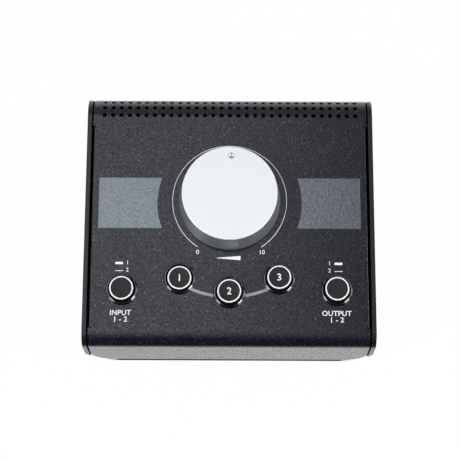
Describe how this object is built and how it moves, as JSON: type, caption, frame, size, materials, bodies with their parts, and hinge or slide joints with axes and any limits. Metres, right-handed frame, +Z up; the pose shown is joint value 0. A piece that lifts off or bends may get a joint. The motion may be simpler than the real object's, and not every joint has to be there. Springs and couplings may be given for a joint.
{
  "type": "studio monitor controller",
  "caption": "Sloping desktop monitor controller: folded steel case, large volume knob, latching push buttons and a row of rear jack sockets.",
  "frame": {"origin": "middle of the overall box, on the table under the feet", "axes": "+X along the case's width, to the right as the front is faced; +Y to the rear, where the sockets are; +Z up"},
  "size_m": [0.142, 0.1275, 0.0711],
  "materials": {
    "cover_paint": "black powder coat with a fine light sparkle",
    "tray_paint": "black powder coat",
    "cheek_paint": "dark grey powder coat",
    "foot_rubber": "matt black rubber",
    "screw_black": "blackened steel",
    "board": "green circuit board",
    "ribbon": "grey flat cable",
    "plated_steel": "plated steel",
    "knob_silver": "satin silver",
    "knob_face": "satin silver, lighter",
    "button_cap": "satin black with a pale ring",
    "plunger": "natural white plastic",
    "collar_gloss": "gloss black",
    "switch_body": "dark grey plastic",
    "jack_plastic": "black plastic",
    "jack_nut_plate": "nickel plate"
  },
  "bodies": {
    "case": {"chassis_tray": "tray_paint", "cheek_screw_front_left": "screw_black", "cheek_screw_front_right": "screw_black", "cheek_screw_rear_left": "screw_black", "cheek_screw_rear_right": "screw_black", "control_board": "board", "cover_screw_left": "screw_black", "cover_screw_right": "screw_black", "dim_collar": "collar_gloss", "dim_switch": "switch_body", "foot_front_left": "foot_rubber", "foot_front_right": "foot_rubber", "foot_rear_left": "foot_rubber", "foot_rear_right": "foot_rubber", "jack_board": "board", "jack_nut_1": "jack_nut_plate", "jack_nut_2": "jack_nut_plate", "jack_nut_3": "jack_nut_plate", "jack_nut_4": "jack_nut_plate", "jack_nut_5": "jack_nut_plate", "jack_nut_6": "jack_nut_plate", "jack_nut_7": "jack_nut_plate", "jack_nut_8": "jack_nut_plate", "jack_socket_1": "jack_plastic", "jack_socket_2": "jack_plastic", "jack_socket_3": "jack_plastic", "jack_socket_4": "jack_plastic", "jack_socket_5": "jack_plastic", "jack_socket_6": "jack_plastic", "jack_socket_7": "jack_plastic", "jack_socket_8": "jack_plastic", "monitor_select_collar": "collar_gloss", "monitor_select_switch": "switch_body", "mono_collar": "collar_gloss", "mono_switch": "switch_body", "mute_collar": "collar_gloss", "mute_switch": "switch_body", "pot_body": "plated_steel", "pot_nut": "plated_steel", "pot_washer": "plated_steel", "ribbon_cable": "ribbon", "side_cheek_left": "cheek_paint", "side_cheek_right": "cheek_paint", "source_select_collar": "collar_gloss", "source_select_switch": "switch_body", "top_cover": "cover_paint"},
    "knob": {"knob_body": "knob_silver", "knob_cap": "knob_face", "pot_shaft": "plated_steel"},
    "source_select_button": {"source_select_cap": "button_cap", "source_select_plunger": "plunger"},
    "mono_button": {"mono_cap": "button_cap", "mono_plunger": "plunger"},
    "mute_button": {"mute_cap": "button_cap", "mute_plunger": "plunger"},
    "dim_button": {"dim_cap": "button_cap", "dim_plunger": "plunger"},
    "monitor_select_button": {"monitor_select_cap": "button_cap", "monitor_select_plunger": "plunger"}
  },
  "joints": [
    {"name": "volume_turn", "type": "hinge", "parent": "case", "child": "knob", "pos_m": [0, 0.00233, 0.06636], "axis": [0, -0.2079, 0.9781], "range_deg": [-150, 150]},
    {"name": "source_select_press", "type": "slide", "parent": "case", "child": "source_select_button", "axis": [0, -0.2079, 0.9781], "range_m": [-0.0028, 0], "stiffness_N_per_m": 300, "springref_m": 0.002},
    {"name": "mono_press", "type": "slide", "parent": "case", "child": "mono_button", "axis": [0, -0.2079, 0.9781], "range_m": [-0.0006, 0.0022]},
    {"name": "mute_press", "type": "slide", "parent": "case", "child": "mute_button", "axis": [0, -0.2079, 0.9781], "range_m": [-0.0028, 0], "stiffness_N_per_m": 300, "springref_m": 0.002},
    {"name": "dim_press", "type": "slide", "parent": "case", "child": "dim_button", "axis": [0, -0.2079, 0.9781], "range_m": [-0.0028, 0], "stiffness_N_per_m": 300, "springref_m": 0.002},
    {"name": "monitor_select_press", "type": "slide", "parent": "case", "child": "monitor_select_button", "axis": [0, -0.2079, 0.9781], "range_m": [-0.0028, 0], "stiffness_N_per_m": 300, "springref_m": 0.002}
  ]
}
